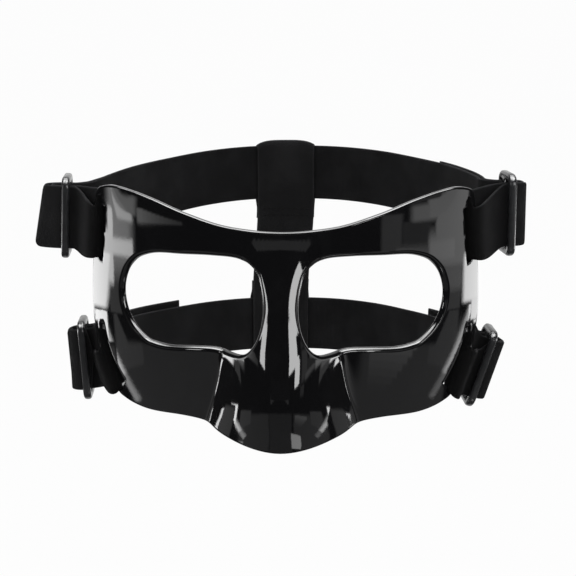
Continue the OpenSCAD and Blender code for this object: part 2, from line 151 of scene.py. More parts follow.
class FinishSettings(bpy.types.PropertyGroup):
    __annotations__ = colour_settings(
        shield=((0.0032, 0.0032, 0.0036), "Colour of the glossy plastic"),
        band=((0.0105, 0.0105, 0.011), "Colour of the elastic"),
        strap=((0.0125, 0.0125, 0.013), "Colour of the strap behind the head"),
        thread=((0.007, 0.007, 0.0073), "Colour of the sewing thread"),
        slider=((0.014, 0.0144, 0.0155), "Colour of the sliders"),
        pad=((0.012, 0.012, 0.0125), "Colour of the pads' cover"),
        floor=((0.9, 0.9, 0.9), "Colour of the floor"),
    )


class FaceMaskSettings(bpy.types.PropertyGroup):
    shield: PointerProperty(type=ShieldSettings)
    band: PointerProperty(type=BandSettings)
    strap: PointerProperty(type=StrapSettings)
    slider: PointerProperty(type=SliderSettings)
    pad: PointerProperty(type=PadSettings)
    finish: PointerProperty(type=FinishSettings)


# Small maths

def ramp(q, soft):
    """0 below 0 and q above it, with a soft turn."""
    return (q + math.sqrt(q * q + soft * soft)) / 2


def mix(a, b, k):
    """a where k is 0 and b where it is 1."""
    return a * (1 - k) + b * k


def ease(k):
    """A soft step from 0 to 1."""
    k = min(1, max(0, k))
    return k * k * (3 - 2 * k)


def curve(a, b, c, d, k):
    """A curve through b and c that leaves towards a and d, at k from 0 to 1."""
    return (b * 2 + (c - a) * k + (a * 2 - b * 5 + c * 4 - d) * k ** 2 + (b * 3 - a - c * 3 + d) * k ** 3) / 2


def turned(v, side):
    return Vector((v.x * side, v.y, v.z))


# The shield's form

# Half of the edge, laid flat, from the brow's middle round the side to the nose's base:
# a share of the half width and a height
EDGE = [(0, 34.3), (0.23, 35.8), (0.428, 40.6), (0.605, 45.7), (0.771, 48.7), (0.891, 48.6), (0.956, 44.6),
        (0.977, 28), (1, 8), (1, -10), (0.952, -26), (0.852, -40.5), (0.781, -45), (0.647, -47.8),
        (0.459, -48), (0.344, -49.2), (0.251, -52), (0, -55.6)]
DRAWN_HEIGHT, DRAWN_TOP = 89.3, 34.3
# An eye opening for a unit width and a unit half height, paired with the edge and then with steps up the nose
EYE = [(0.045, 0.74), (0.149, 0.96), (0.328, 1.005), (0.522, 0.99), (0.701, 0.97), (0.821, 0.875),
       (0.896, 0.735), (0.963, 0.485), (1, 0.11), (0.982, -0.29), (0.918, -0.63), (0.813, -0.895),
       (0.739, -0.97), (0.627, -1), (0.448, -0.96), (0.328, -0.94), (0.231, -0.965), (0.127, -0.935),
       (0.064, -0.755), (0.025, -0.505), (0.004, -0.215), (0, 0.085), (0.013, 0.435)]
LAST = len(EDGE) - 1
UPPER_SLOT, LOWER_SLOT = 6.82, 10.2
# The nose, in shares of its length: how softly it starts and ends, where its base falls back and how steeply
NOSE_TURN, BASE_AT, BASE_FALL = 0.14, 0.95, 1.3
# The nose's half width grows softly below a height, and bulges at the wings, at a height and over a reach
FLARE_FROM, FLARE_SOFT, FLARE, WING_AT, WING_REACH, WING = 5, 6, 0.31, -15, 12, 2.4
CREASE = 0.09
# The brow's edge turns back above a height, except near its corners
BROW_TURN_FROM, BROW_TURN_SOFT, CORNER_AT, CORNER_REACH = 35, 114, 68, 14
CHEEK_DEPTH = 48


class ShieldForm:
    """The shield's surface and edges, in millimetres."""

    def __init__(self, s):
        self.half_w, self.tall, self.wrap = mm(s.flat_width) / 2, mm(s.height) / DRAWN_HEIGHT, mm(s.wrap_radius)
        self.wall, self.reach, self.cheek = mm(s.wall), mm(s.brow_reach), mm(s.cheek_fall)
        self.nose_h, self.nose_top, self.nose_len = mm(s.nose_height), mm(s.nose_start), mm(s.nose_length)
        self.bridge, self.eye_from = mm(s.bridge_half_width), mm(s.bridge_width) / 2
        self.eye_w, self.eye_h, self.eye_z = mm(s.eye_width), mm(s.eye_height), mm(s.eye_middle)
        self.bar_w, self.slot_w = mm(s.bar_width), mm(s.slot_width)

    def face(self, s, z):
        """The outer face at a place s round the wrap and a height z."""
        x = self.wrap * math.sin(s / self.wrap)
        k = (self.nose_top - z) / self.nose_len
        rise = self.nose_h * (ramp(k, NOSE_TURN) - BASE_FALL * ramp(k - BASE_AT, NOSE_TURN))
        half_w = self.bridge + FLARE * ramp(FLARE_FROM - z, FLARE_SOFT)
        half_w += WING * math.exp(-((z - WING_AT) / WING_REACH) ** 2)
        y = self.wrap * (1 - math.cos(s / self.wrap)) - self.reach
        y += self.cheek * (max(0, -z) / CHEEK_DEPTH) ** 2 - rise * ramp(1 - (x / half_w) ** 2, CREASE)
        away_from_corner = 1 - ease((abs(s) - CORNER_AT) / CORNER_REACH)
        y += max(0, z - BROW_TURN_FROM) ** 2 / BROW_TURN_SOFT * away_from_corner
        return Vector((x, y, z))

    def flat(self, p):
        """A place laid flat: how far round the wrap it lies, and its height."""
        return self.wrap * math.asin(p.x / self.wrap), p.z

    def along(self, s, z):
        return self.face(s + 0.05, z) - self.face(s - 0.05, z)

    def upward(self, s, z):
        return self.face(s, z + 0.05) - self.face(s, z - 0.05)

    def outward(self, s, z):
        return self.along(s, z).cross(self.upward(s, z)).normalized()

    def below(self, p, depth):
        """The point that lies a depth below the outer face."""
        return self.face(p.x, p.y) - self.outward(p.x, p.y) * depth

    def edge_point(self, i):
        past = i < 0 or i > LAST
        k = -i if i < 0 else 2 * LAST - i if past else i
        return Vector(((-1 if past else 1) * EDGE[k][0] * self.half_w,
                       DRAWN_TOP + (EDGE[k][1] - DRAWN_TOP) * self.tall))

    def edge(self, t):
        i = min(int(t), LAST - 1)
        return curve(*[self.edge_point(i + k) for k in (-1, 0, 1, 2)], t - i)

    def eye(self, t):
        i = int(t)
        points = [EYE[(i + k) % len(EYE)] for k in (-1, 0, 1, 2)]
        return curve(*[Vector((self.eye_from + a * self.eye_w, self.eye_z + b * self.eye_h / 2))
                       for a, b in points], t - i)

    def outer(self, t):
        """The edge, and then the middle line up the nose."""
        if t <= LAST:
            return self.edge(t)
        k = (t - LAST) / (len(EYE) - LAST)
        return Vector((0, mix(self.edge(LAST).y, self.edge(0).y, k)))

    def edge_way(self, t):
        return (self.edge(t + 0.3) - self.edge(t - 0.3)).normalized()

    def inward(self, t):
        way = self.edge_way(t)
        return Vector((way.y, -way.x))

    def slot_middle(self, t):
        return self.edge(t) + self.inward(t) * (self.bar_w + self.slot_w / 2)

    def slot_frame(self, t):
        """The bar's middle, and the ways up, out of the face and sideways there."""
        p = self.slot_middle(t)
        way = self.edge_way(t)
        up = -(self.along(*p) * way.x + self.upward(*p) * way.y).normalized()
        out = self.outward(*p)
        bar = self.below(self.edge(t) + self.inward(t) * self.bar_w / 2, self.wall / 2)
        return bar, up, out, up.cross(out).normalized()


class SlotOutline:
    """A strap slot in the shield laid flat: a straight part with round ends that follows the shield's edge."""

    # Steps along the edge, and how often a point is moved before it lies right
    step, steps, tries = 0.02, 130, 3

    def __init__(self, form, t, length):
        self.form, self.centre, self.length = form, form.slot_middle(t), length
        self.half, self.straight = form.slot_w / 2, (length - form.slot_w) / 2
        self.depth = form.bar_w + self.half
        self.fine = [t + k * self.step for k in range(-self.steps, self.steps + 1)]
        self.line = [form.edge(k) for k in self.fine]
        self.run = [0]
        for a, b in zip(self.line, self.line[1:]):
            self.run.append(self.run[-1] + (b - a).length)

    def reading(self, p):
        """The nearest place on the edge, how far past the slot's straight part p lies, and how far in."""
        i = min(range(len(self.line)), key=lambda n: (self.line[n] - p).length_squared)
        a = self.run[i] - self.run[self.steps]
        beyond = math.copysign(max(abs(a) - self.straight, 0), a)
        return self.fine[i], beyond, (p - self.line[i]).dot(self.form.inward(self.fine[i])) - self.depth

    def away(self, p):
        """How far out of the slot's outline a point lies."""
        _, beyond, b = self.reading(p)
        return math.hypot(beyond, b) - self.half

    def put(self, p, gap):
        """The point moved to a gap outside the slot's outline."""
        for _ in range(self.tries):
            k, beyond, b = self.reading(p)
            out = self.form.edge_way(k) * beyond + self.form.inward(k) * b
            p = p + out.normalized() * (gap + self.half - math.hypot(beyond, b))
        return p


# The bands' form

# Each side loop: side, slot, the slider's middle from its bar (outwards, back, up), its lean outwards,
# its turn, the loop's reach, how much further out its foot lies than its top, where the tail stops,
# and how far the band's front pass lies below its back pass
LOOPS = {
    "upper_left": (LEFT, UPPER_SLOT, (17.9, 21.5, 0), -2, -5, 12.2, 4, 5.05, 1),
    "upper_right": (RIGHT, UPPER_SLOT, (17.5, 21.5, 2.2), 0, 9, 8, 0, 3.7, 1),
    "lower_left": (LEFT, LOWER_SLOT, (13.4, 22, -6), 4, -4, 6.6, 1.2, 2.85, 5),
    "lower_right": (RIGHT, LOWER_SLOT, (9.1, 22, -8), 18, 6, 7.2, 0, 3.55, 5),
}
# How a band's front pass gathers. Its upper edge: how far down at the slider, at the shield and more between.
# Its lower edge: the same three. Last, how far the outer loop's corners are drawn in and how far the tail
# stands up
GATHERS = {
    "upper_left": (0, 5.8, 0.3, 0, 0.6, 1.5, 2, -0.8),
    "upper_right": (0.5, 5.2, 1.2, 0.3, 0.2, 1.7, 2, 0.3),
    "lower_left": (9.5, 7.3, 0, -14.3, 0, 4.2, 1.6, 2.9),
    "lower_right": (5.8, 6, 0, 0, 0, 0.6, 1.8, 2.7),
}
# The route round the head, as shares of the band's half width and of the reach behind the head
ROUTE = [(0, 1), (0.24, 0.965), (0.45, 0.84), (0.62, 0.65), (0.75, 0.47), (0.83, 0.3), (0.87, 0.17)]
ROUTE_LAST = len(ROUTE) - 1
# The half widths that the route was drawn for, and the share of the reach from which the set ones hold
DRAWN_HALF, SET_HALF_FROM = {"upper": 98, "lower": 94}, 0.47
TRAVEL_IN, TRAVEL_OUT = 1.5, 3
# A band's gaps to the shield's bar behind and in front of it, how far past the bar it runs straight, how far
# over the bar its turn lies, and how far inside the slider's outer limit its turn round the middle bar starts
GAP_BEHIND, GAP_BEFORE, LEAD, TURN_OVER, LOOP_SLACK = 1.2, 0.5, 0.8, 1.5, 0.85
# The gap to the slider's middle bar, the gap between two passes, the straight run beside the slider, and how far
# out the outer loop starts to turn
BAR_GAP, PASS_GAP, RUN, OUTER_AT = 0.5, 0.8, 0.6, 1.5
# Bends of the standing band and of its tail before a slider, each towards the shield and back
FAR_BEND, NEAR_BEND, TAIL_BEND, NO_BEND = (5.9, 5.3), (2, 1.5), (1.8, 1.7), (0, 0)
# Stations in each turn of a band and in its tail, and where on the route the tail starts
TURN_STEPS, TAIL_STEPS, TAIL_START = 8, 10, ROUTE_LAST + 0.85
# Where a gather dies out past the shield's bar and over what length, and the length over which it does so short
# of the slider, for a plain band and for one that is bunched there
PAST_FROM, PAST_REACH, SHORT_REACH, BUNCH_REACH = 0.8, 1.7, 5, 2.6
# How far the drawn-in corners and the tail's rise reach along the band, and the painted shade at the band's hard
# bend round the shield's bar: how far past the bar it lies, over what length it eases and how far on it holds
PINCH_REACH, LIFT_REACH, BEND_AT, BEND_EASE, BEND_HOLD = 3.4, 24, 1.5, 6, 1.6


class SideLoop:
    """One side loop of a band: its slider's place and turn, and the band's course near it."""

    def __init__(self, settings, name):
        form, band, slider = ShieldForm(settings.shield), settings.band, settings.slider
        (self.side, slot, offset, lean, yaw, self.reach, self.foot, self.tail_stop, self.drop) = LOOPS[name]
        self.level, self.gather = name.split("_")[0], GATHERS[name]
        bar, up, out, sideways = form.slot_frame(slot)
        self.bar, self.bar_up = turned(bar, self.side), turned(up, self.side)
        self.bar_out, self.bar_side = turned(out, self.side), turned(sideways, self.side)
        lean, yaw = math.radians(lean), math.radians(yaw)
        self.up = Vector((self.side * math.sin(lean), 0, math.cos(lean)))
        flat_out = Vector((self.side * math.cos(lean), 0, -math.sin(lean)))
        self.out = flat_out * math.cos(yaw) + Y * math.sin(yaw)
        self.back = Y * math.cos(yaw) - flat_out * math.sin(yaw)
        self.mid = turned(bar + Vector(offset), self.side)
        self.bar_w, self.turn_at = form.bar_w, TURN_OVER - form.bar_w / 2
        self.band_w, self.band_t, self.tail_gap = mm(band.width), mm(band.thickness), mm(band.tail_gap)
        self.slider_t, self.head_reach = mm(slider.thickness), mm(band.head_reach)
        upper = self.level == "upper"
        self.half = mm(band.upper_half_width if upper else band.lower_half_width)
        self.back_z = mm(band.upper_back_height if upper else band.lower_back_height)
        self.back_ride = form.wall / 2 + GAP_BEHIND + self.band_t / 2
        self.front_ride = form.wall / 2 + GAP_BEFORE + self.band_t / 2
        self.inner = mm(slider.middle_bar) / 2 + BAR_GAP + self.band_t / 2
        self.outer = self.inner + self.band_t + PASS_GAP
        self.lane_in = -self.slider_t / 2 - TRAVEL_IN - RUN

    def near_slider(self, a, b):
        return self.mid + self.out * a + self.back * b, self.up

    def near_bar(self, a, n, rise):
        return self.bar + self.bar_side * a + self.bar_out * n + self.bar_up * rise, self.bar_up

    def before_slider(self, lane, bend):
        return self.near_slider(self.lane_in - bend[0], lane + bend[1])

    def route_point(self, i):
        if i > ROUTE_LAST + 1:
            return self.before_slider(self.inner, NO_BEND)[0]
        if i > ROUTE_LAST:
            return self.before_slider(self.inner, FAR_BEND)[0]
        across, back = ROUTE[abs(i)]
        half = mix(DRAWN_HALF[self.level], self.half, ease(back / SET_HALF_FROM))
        return Vector(((-1 if i < 0 else 1) * self.side * across * half, back * self.head_reach,
                       mix(self.mid.z, self.back_z, back)))

    def route(self, t):
        i = min(int(t), ROUTE_LAST)
        return curve(*[self.route_point(i + k) for k in (-1, 0, 1, 2)], t - i)

    def route_up(self, t):
        return mix(Vector((0, 0, 1)), self.up, min(1, t / (ROUTE_LAST + 1)) ** 3).normalized()

    def beside(self, t, off):
        """A place beside the route, on its outer side."""
        way = self.route(t + 0.05) - self.route(t - 0.05)
        n = Vector((-way.y, way.x, 0)).normalized()
        return self.route(t) + n * (off if n.y > 0 or n.x * self.side > 0 else -off)

    def gathers(self, course, lengths):
        """How far the band's upper and lower edges come down at each step, and how much painted shade it gets
        there, for its hard bend round the shield's bar.
        """
        near, far, sag, near_under, far_under, belly, drawn, rise = self.gather

        def length_at(place):
            return lengths[min(range(len(course)), key=lambda i: (course[i][0] - place).length_squared)]

        bar = length_at(self.near_bar(self.turn_at, self.front_ride, 0)[0])
        slider = length_at(self.near_slider(self.lane_in, -self.outer)[0])
        tip = length_at(self.near_slider(self.reach, 0)[0])
        end = length_at(self.before_slider(self.outer, TAIL_BEND)[0])
        steps = []
        for length in lengths:
            along = (length - slider) / (bar - slider)
            past = (along - 1) * abs(bar - slider)
            short = max(0, -along) * abs(bar - slider)
            hold = ease(PAST_FROM - past / PAST_REACH)
            hold *= ease(1 - short / (BUNCH_REACH if near_under else SHORT_REACH))
            along = max(0, min(1, along))
            swell = 4 * along * (1 - along)
            down = mix(near, far, along) + sag * swell
            under = mix(near_under, far_under, along) + belly * swell
            pinch = drawn * max(0, 1 - abs(length - tip) / PINCH_REACH) ** 2
            lift = rise * ease((length - end) * self.side / LIFT_REACH)
            # The third value is painted shade, strongest at the hard bend round the shield's bar
            off_bend = abs(length - bar - BEND_AT * math.copysign(1, bar - slider))
            steps.append((down * hold + pinch - lift, under * hold - pinch - lift,
                          ease(BEND_HOLD - off_bend / BEND_EASE)))
        return steps

    def half_band(self):
        """Stations from the middle behind the head to the end of the free tail."""
        lead, inner_at = self.bar_w / 2 + LEAD, self.slider_t / 2 + TRAVEL_OUT - LOOP_SLACK
        turns = [math.pi * k / TURN_STEPS for k in range(TURN_STEPS + 1)]
        course = [(self.route(k / 3), self.route_up(k / 3)) for k in range((ROUTE_LAST + 1) * 3 + 1)]
        course += [self.before_slider(self.inner, NEAR_BEND), self.before_slider(self.inner, NO_BEND)]
        course += [self.near_slider(inner_at + self.inner * math.sin(u), self.inner * math.cos(u)) for u in turns]
        course += [self.near_slider(self.lane_in, -self.inner),
                   self.near_bar(lead, -self.back_ride, self.drop / 2)]
        for u in turns:
            u -= math.pi / 2
            ride = self.back_ride if u < 0 else self.front_ride
            course.append(self.near_bar(self.turn_at - self.front_ride * math.cos(u), ride * math.sin(u),
                                        -self.drop / 2 * math.sin(u)))
        course += [self.near_bar(lead, self.front_ride, -self.drop / 2),
                   self.near_slider(self.lane_in, -self.outer)]
        for u in turns:
            place, up = self.near_slider(mix(OUTER_AT, self.reach, math.sin(u)), -self.outer * math.cos(u))
            course.append((place, up - self.out * (self.foot / self.band_w * math.sin(u))))
        course += [self.before_slider(self.outer, NO_BEND), self.before_slider(self.outer, TAIL_BEND)]
        tail = [mix(TAIL_START, self.tail_stop, k / TAIL_STEPS) for k in range(TAIL_STEPS + 1)]
        return course + [(self.beside(t, self.band_t + self.tail_gap), self.route_up(t)) for t in tail]


def even_course(course, spacing, soften):
    """Even steps along a smooth curve through a course's stations: places, ways up and lengths so far."""
    rows = np.array([[*place, *up] for place, up in course])
    gaps = np.sqrt(np.linalg.norm(np.diff(rows[:, :3], axis=0), axis=1))[:, None]
    slopes = np.diff(rows, axis=0) / gaps
    inner = (slopes[:-1] * gaps[1:] + slopes[1:] * gaps[:-1]) / (gaps[:-1] + gaps[1:])
    slopes = np.concatenate([slopes[:1], inner, slopes[-1:]])
    k = np.linspace(0, 1, 24, endpoint=False)[None, :, None]
    a, b, h = rows[:-1, None], rows[1:, None], gaps[:, None]
    fine = (a * (1 + 2 * k) * (1 - k) ** 2 + b * k * k * (3 - 2 * k)
            + slopes[:-1, None] * h * k * (1 - k) ** 2 - slopes[1:, None] * h * k * k * (1 - k))
    fine = np.concatenate([fine.reshape(-1, 6), rows[-1:]])
    for _ in range(2):
        lengths = np.concatenate([[0], np.cumsum(np.linalg.norm(np.diff(fine[:, :3], axis=0), axis=1))])
        count = max(2, round(lengths[-1] / spacing))
        steps = np.linspace(0, lengths[-1], count + 1)
        fine = np.stack([np.interp(steps, lengths, fine[:, c]) for c in range(6)], 1)
        for _ in range(soften):
            fine[1:-1] = (fine[:-2] + 2 * fine[1:-1] + fine[2:]) / 4
    return [(Vector(r[:3]), Vector(r[3:]).normalized()) for r in fine], steps


def heading(course, i):
    """Which way a course runs at a step."""
    return (course[min(i + 1, len(course) - 1)][0] - course[max(i - 1, 0)][0]).normalized()


# Meshes

def on_grid(bm, columns, rows):
    """A flat grid of faces, with each vertex's column and row."""
    made = bmesh.ops.create_grid(bm, x_segments=columns, y_segments=rows, size=0.5)
    return [(v, round((v.co.x + 0.5) * columns), round((v.co.y + 0.5) * rows)) for v in made["verts"]]


def give_thickness(bm, far):
    """A sheet becomes a solid: its copy moves to the places that the layer keeps, and rims join the two."""
    side = bm.verts.layers.int.new("side")
    made = bmesh.ops.extrude_face_region(bm, geom=bm.faces[:])
    for v in made["geom"]:
        if isinstance(v, bmesh.types.BMVert):
            v.co = v[far]
            v[side] = 1
    bmesh.ops.recalc_face_normals(bm, faces=bm.faces[:])

    def is_rim(face):
        return len({v[side] for v in face.verts}) == 2

    return [e for e in bm.edges if len(e.link_faces) == 2 and e.verts[0][side] == e.verts[1][side]
            and sum(is_rim(f) for f in e.link_faces) == 1]


def round_edges(bm, edges, radius, steps):
    bmesh.ops.bevel(bm, geom=edges, offset=radius, offset_type="OFFSET", segments=steps, profile=0.5,
                    affect="EDGES", material=-1, clamp_overlap=False, loop_slide=False)


def object_of(bm, name, finish=None):
    """The mesh as an object in the scene."""
    mesh = bpy.data.meshes.new(name)
    bm.to_mesh(mesh)
    bm.free()
    if finish:
        mesh.materials.append(finish)
    made = bpy.data.objects.new(name, mesh)
    bpy.context.scene.collection.objects.link(made)
    return made


def finish_piece(bm, name, finish, body, nodes=(), sharp=50):
    """The mesh in metres as a piece that rides on a body and stands for its CAD nodes."""
    bmesh.ops.scale(bm, vec=(MM, MM, MM), verts=bm.verts[:])
    piece = object_of(bm, name, finish)
    piece.data.shade_smooth()
    piece.data.set_sharp_from_angle(angle=math.radians(sharp))
    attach(piece, body)
    if nodes:
        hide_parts(*nodes)


def map_cloth(bm, where):
    """The map called cloth, from each vertex's place along and across the cloth, in metres."""
    cloth = bm.loops.layers.uv.new("cloth")
    bm.verts.index_update()
    for face in bm.faces:
        for loop in face.loops:
            loop[cloth].uv = where[loop.vert.index]


def lay_ribbon(bm, course, lengths, width, thickness, columns, shape, bar_shade):
    """A band along a course, as a solid with rounded rims. An attribute holds painted shade where it bends hard
    round the shield's bar.
    """
    far = bm.verts.layers.float_vector.new("far")
    bend = bm.verts.layers.float.new("bar_shade")
    where = {}
    for v, i, j in on_grid(bm, len(course) - 1, columns):
        place, up = course[i]
        out = up.cross(heading(course, i)).normalized()
        c = (j / columns * 2 - 1) * width / 2
        p = place + up * c + shape(i, c, up)
        v.co = p + out * thickness / 2
        v[far] = p - out * thickness / 2
        v[bend] = bar_shade[i]
        where[v.index] = (lengths[i] * MM, c * MM)
    map_cloth(bm, where)
    round_edges(bm, give_thickness(bm, far), thickness * 0.36, 2)


# Finishes

WHITE = (1, 1, 1, 1)


class Number:
    """A value inside a finish, so that sums with it are written as plain expressions."""

    def __init__(self, finish, socket):
        self.finish, self.socket = finish, socket

    def sum(self, operation, *terms):
        return self.finish.add("ShaderNodeMath", {"operation": operation}, dict(enumerate(terms)))

    def __add__(self, other):
        return self.sum("ADD", self, other)

    __radd__ = __add__

    def __sub__(self, other):
        return self.sum("SUBTRACT", self, other)

    def __rsub__(self, other):
        return self.sum("SUBTRACT", other, self)

    def __mul__(self, other):
        return self.sum("MULTIPLY", self, other)

    __rmul__ = __mul__

    def sine(self):
        return self.sum("SINE", self)

    def size(self):
        return self.sum("ABSOLUTE", self)

    def or_more(self, other):
        return self.sum("MAXIMUM", self, other)

    def between(self, low, high):
        """A soft step from 0 at low to 1 at high."""
        return self.finish.add("ShaderNodeMapRange", {"interpolation_type": "SMOOTHSTEP"},
                               {0: self, 1: low, 2: high, 3: 0.0, 4: 1.0})


class Finish:
    """The nodes of a material or of the world, built up step by step."""

    def __init__(self, owner):
        owner.use_nodes = True
        self.owner, self.tree = owner, owner.node_tree
        self.tree.nodes.clear()

    def add(self, kind, settings=None, inputs=None, output=0):
        node = self.tree.nodes.new(kind)
        for key, value in (settings or {}).items():
            setattr(node, key, value)
        for key, value in (inputs or {}).items():
            if isinstance(value, Number):
                self.tree.links.new(value.socket, node.inputs[key])
            else:
                node.inputs[key].default_value = value
        return Number(self, node.outputs[output]) if node.outputs else None

    def place(self):
        return self.add("ShaderNodeTexCoord", output="Object")

    def parts(self, vector):
        return [self.add("ShaderNodeSeparateXYZ", {}, {"Vector": vector}, output=axis) for axis in "XYZ"]

    def noise(self, scale, detail=2.0, where=None, roughness=0.5):
        return self.add("ShaderNodeTexNoise", {}, {"Vector": where or self.place(), "Scale": scale,
                                                   "Detail": detail, "Roughness": roughness})

    def cloth(self):
        """How far along and across the cloth a point lies, in millimetres, and the map itself."""
        flat = self.add("ShaderNodeUVMap", {"uv_map": "cloth"})
        along, across, _ = self.parts(flat)
        return along * 1000, across * 1000, flat

    def colours(self, k, a, b):
        return self.add("ShaderNodeMix", {"data_type": "RGBA", "clamp_factor": False},
                        {0: k, 6: (*a, 1), 7: (*b, 1)}, output=2)

    def bump(self, height, distance, under=None):
        inputs = {"Height": height, "Distance": distance, "Strength": 1.0}
        if under:
            inputs["Normal"] = under
        return self.add("ShaderNodeBump", {}, inputs)

    def surface(self, **sockets):
        """The shader, its sockets named with spaces as underscores."""
        return self.show(self.add("ShaderNodeBsdfPrincipled", {},
                                  {k.replace("_", " "): v for k, v in sockets.items()}))

    def light(self, strength):
        return self.add("ShaderNodeEmission", {}, {"Color": WHITE, "Strength": strength})

    def blend(self, k, a, b):
        """The material that shows one shader where k is 0 and the other where it is 1."""
        return self.show(self.add("ShaderNodeMixShader", {}, {0: k, 1: a, 2: b}))

    def show(self, shader):
        self.add("ShaderNodeOutputMaterial", {}, {"Surface": shader})
        return self.owner


def tint(shade, k):
    return tuple(min(1, c * k) for c in shade)


def gloss_plastic(shade):
    """Injection-moulded black plastic: a polished skin with a soft waviness and faint handling marks."""
    f = Finish(bpy.data.materials.new("gloss_plastic"))
    waves = f.noise(22.0, 1.0)
    orange_peel = f.noise(900.0, 2.0)
    marks = f.noise(60.0, 5.0, roughness=0.7).between(0.45, 0.8)
    skin = f.bump(waves, 0.00012)
    skin = f.bump(orange_peel, 0.000004, skin)
    return f.surface(Base_Color=f.colours(marks, shade, tint(shade, 1.5)), Roughness=marks * 0.04 + 0.035,
                     IOR=1.5, Normal=skin)


def woven_elastic(name, shade, rib, pick, half_width):
    """Knitted elastic: ribs along the band, crossed by fine picks, with a denser selvage, a painted highlight
    along both edges and painted shade where a band turns round the shield's bar.
    """
    f = Finish(bpy.data.materials.new(name))
    along, across, flat = f.cloth()
    wander = f.noise(90.0, 2.0, flat) - 0.5
    ribs = (across * (2 * math.pi / rib)).sine()
    picks = ((along + wander * 0.4) * (2 * math.pi / pick) + ribs * 1.6).sine()
    weave = (ribs.size() * 0.6 + picks * (1 - ribs.size() * 0.5) * 0.5)
    selvage = across.size().between(half_width - 1.6, half_width - 1.1)
    lint = f.noise(2600.0, 3.0, roughness=0.8)
    worn = f.noise(55.0, 3.0).between(0.35, 0.75)
    height = weave * (1 - selvage * 0.6) + selvage * 0.9
    skin = f.bump(height, 0.00011)
    skin = f.bump(lint, 0.00008, skin)
    # Painted highlight: a light line along both edges of the band and the strap
    rim = across.size().between(half_width - 0.7, half_width - 0.1)
    glow = worn * 0.3 + weave * 0.2 + lint * 0.4 + rim * 0.6
    # Painted shade: the band is drawn darker where it bends hard round the shield's bar, from the attribute its
    # mesh carries
    bend = f.add("ShaderNodeAttribute", {"attribute_name": "bar_shade"}, output="Fac")
    glow = glow * (1 - bend * 0.9) - bend * 0.25
    return f.surface(Base_Color=f.colours(glow, tint(shade, 0.5), tint(shade, 1.8)),
                     Roughness=0.9 - worn * 0.1, IOR=1.45, Specular_IOR_Level=0.04, Sheen_Weight=0.01,
                     Sheen_Roughness=0.4, Normal=skin)


def satin_plastic(shade):
    """Moulded slider plastic: a fine spark-eroded grain, rubbed smoother in patches."""
    f = Finish(bpy.data.materials.new("satin_plastic"))
    grain = f.noise(2400.0, 3.0, roughness=0.7)
    rubbed = f.noise(220.0, 3.0).between(0.4, 0.7)
    return f.surface(Base_Color=f.colours(rubbed, shade, tint(shade, 1.4)), Roughness=0.23 - rubbed * 0.06,
                     IOR=1.5, Normal=f.bump(grain, 0.00003))


def pad_cover(shade):
    """Brushed knit over closed-cell foam."""
    f = Finish(bpy.data.materials.new("pad_cover"))
    place = f.place()
    knit = f.add("ShaderNodeTexVoronoi", {"feature": "F1"}, {"Vector": place, "Scale": 1300.0})
    fuzz = f.noise(3000.0, 3.0, roughness=0.8)
    puff = f.noise(120.0, 3.0)
    skin = f.bump(puff, 0.0005)
    skin = f.bump(knit * 0.7 + fuzz * 0.5, 0.00012, skin)
    return f.surface(Base_Color=f.colours(fuzz * 0.6 + puff * 0.4, tint(shade, 0.6), tint(shade, 1.8)),
                     Roughness=0.9 - puff * 0.08, Specular_IOR_Level=0.3, Sheen_Weight=0.2, Sheen_Roughness=0.5,
                     Normal=skin)


def sewing_thread(shade):
    """Twisted thread."""
    f = Finish(bpy.data.materials.new("sewing_thread"))
    fibre = f.noise(4200.0, 2.0)
    return f.surface(Base_Color=f.colours(fibre, tint(shade, 0.7), tint(shade, 1.6)), Roughness=0.8 + fibre * 0.1,
                     Specular_IOR_Level=0.05, Normal=f.bump(fibre, 0.00005))


# What the gloss sees of the studio: cards of light, each at a turn from the front and a rise in degrees, with
# its half width, half height and soft border, and its brightness, where 1 is white
FAR_CARDS = [
    (-50, 15.2, 5.5, 5.2, 0.8, 11), (37.3, 17.6, 12.2, 6.3, 0.8, 11), (46, 7.6, 5, 3.6, 0.8, 11),
    (70, 8, 14, 9, 3, 0.3), (-62, -32, 26, 14, 5, 0.3), (66, -32, 26, 14, 5, 0.32), (0, -40, 30, 22, 6, 0.2),
    (-84, -18, 8, 4.5, 2, 0.45), (82, -18, 8, 4.5, 2, 0.42),
    (-97.9, -18.1, 0.2, 5.1, 4, 6.5, -1.39, 1), (-89.4, -24.2, 0.4, 4, 4, 3.2, -1.39, 1),
    (94.5, -17.6, 0.2, 5.6, 4, 5.5, 1.4, -1), (85.4, -24.1, 0.4, 4, 4, 1.5, 1.4, -1),
    (-113.5, -14.3, 15, 3.4, 1, 10.5), (113.5, -14.3, 15, 3.4, 1, 10.5), (0, 78, 180, 18, 6, 9),
    (-62, 78, 32, 18, 12, 20), (62, 78, 32, 18, 12, 20),
    *[(k * 3.5 - 2, 6.3 - k * k * 0.145, 1.8, 2.9, 1.6, 0.33) for k in range(-7, 8)],
    *[(54 - k * 1.2, -19 - k * 1.6, 12 - k * 1.2, 1.2, 1.6, 0.85 * 0.86 ** k) for k in range(7)],
]
# The rest of what the gloss sees is dark in front and turns white behind, between these turns from the front
DARK, BEHIND = 0.03, (122, 145)
# A round shade stands between, 280 mm out. Its own cards of light and the openings to the far ones are placed
# by a turn in degrees and a height in millimetres. Two more numbers give a leaning card: the turn it gains with
# each millimetre of height, and which of its upright sides is the soft one
SHADE_MIDDLE, SHADE_RADIUS, SHADE_LOW, SHADE_HIGH = 0.04, 0.28, -0.26, 0.062
